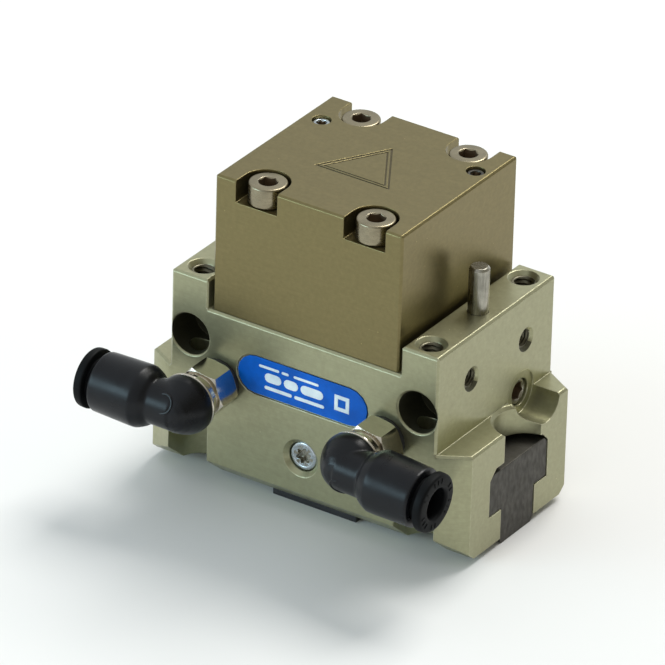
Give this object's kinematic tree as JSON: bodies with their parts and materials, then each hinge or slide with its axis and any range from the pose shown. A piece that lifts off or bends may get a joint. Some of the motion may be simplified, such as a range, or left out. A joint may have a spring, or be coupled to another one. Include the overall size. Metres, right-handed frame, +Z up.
{
  "type": "pneumatic gripper",
  "caption": "Two-jaw parallel pneumatic gripper with a spring-closed wedge-hook piston, coupled sliding jaws and swivelling push-in tube fittings.",
  "frame": {"origin": "middle of the bottom cover's underside, level with the undersides of the closed jaws", "axes": "+X is the way the right jaw opens, -Y is the side with the air ports, +Z is up, away from the jaws"},
  "size_m": [0.0583, 0.0446, 0.0499],
  "materials": {
    "housing_anodised": "satin anodised, light khaki grey",
    "olive_anodised": "satin anodised, olive brown",
    "bright_screw": "bright nickel-plated",
    "dark_screw": "blackened steel",
    "black_cover": "black, satin",
    "steel": "ground steel",
    "blue_foil": "printed blue foil",
    "zinc": "zinc plated",
    "rubber": "matt",
    "dark_steel": "hardened dark steel, matt",
    "piston_aluminium": "turned",
    "nickel": "nickel-plated brass, bright",
    "black_plastic": "moulded, semi-gloss"
  },
  "bodies": {
    "housing": {"housing": "housing_anodised", "spring_housing": "olive_anodised", "spring_housing_screw_1": "bright_screw", "spring_housing_screw_2": "bright_screw", "spring_housing_screw_3": "bright_screw", "spring_housing_screw_4": "bright_screw", "top_set_screw_left": "dark_screw", "top_set_screw_right": "dark_screw", "dowel_pin": "steel", "name_plate": "blue_foil", "purge_screw": "zinc", "side_port_plug": "zinc", "bottom_cover": "black_cover", "bottom_cover_screw_1": "dark_screw", "bottom_cover_screw_2": "dark_screw", "bottom_cover_screw_3": "dark_screw", "bottom_cover_screw_4": "dark_screw", "cylinder_seal": "rubber", "shaft_seal": "rubber", "closing_spring": "steel", "fitting_stem_left": "nickel", "fitting_washer_left": "rubber", "swivel_seal_left": "rubber", "fitting_stem_right": "nickel", "fitting_washer_right": "rubber", "swivel_seal_right": "rubber"},
    "piston": {"wedge_hook": "steel", "piston": "piston_aluminium", "piston_seal": "rubber", "piston_screw": "dark_screw"},
    "jaw_left": {"jaw_left": "dark_steel"},
    "jaw_right": {"jaw_right": "dark_steel"},
    "elbow_left": {"elbow_left": "black_plastic", "grip_ring_left": "steel", "tube_seal_left": "rubber"},
    "collar_left": {"release_collar_left": "black_plastic"},
    "elbow_right": {"elbow_right": "black_plastic", "grip_ring_right": "steel", "tube_seal_right": "rubber"},
    "collar_right": {"release_collar_right": "black_plastic"}
  },
  "joints": [
    {"name": "piston_slide", "type": "slide", "parent": "housing", "child": "piston", "axis": [0, 0, 1], "range_m": [0, 0.00571], "stiffness_N_per_m": 1500, "springref_m": -0.02, "deforming": ["closing_spring"]},
    {"name": "jaw_right_slide", "type": "slide", "parent": "housing", "child": "jaw_right", "axis": [1, 0, 0], "range_m": [0, 0.004]},
    {"name": "jaw_left_slide", "type": "slide", "parent": "housing", "child": "jaw_left", "axis": [-1, 0, 0], "range_m": [0, 0.004]},
    {"name": "elbow_left_swivel", "type": "hinge", "parent": "housing", "child": "elbow_left", "pos_m": [-0.01385, -0.025, 0.01785], "axis": [0, -1, 0], "range_deg": [-90, 90]},
    {"name": "collar_left_press", "type": "slide", "parent": "elbow_left", "child": "collar_left", "axis": [1, 0, -0.0087], "range_m": [0, 0.0008], "stiffness_N_per_m": 800, "springref_m": -0.001},
    {"name": "elbow_right_swivel", "type": "hinge", "parent": "housing", "child": "elbow_right", "pos_m": [0.01385, -0.025, 0.01785], "axis": [0, -1, 0], "range_deg": [-90, 90]},
    {"name": "collar_right_press", "type": "slide", "parent": "elbow_right", "child": "collar_right", "axis": [-0.9986, 0, 0.0523], "range_m": [0, 0.0008], "stiffness_N_per_m": 800, "springref_m": -0.001}
  ],
  "couplings": [
    {"joint": "jaw_right_slide", "follows": "piston_slide", "ratio": 0.7},
    {"joint": "jaw_left_slide", "follows": "piston_slide", "ratio": 0.7}
  ]
}
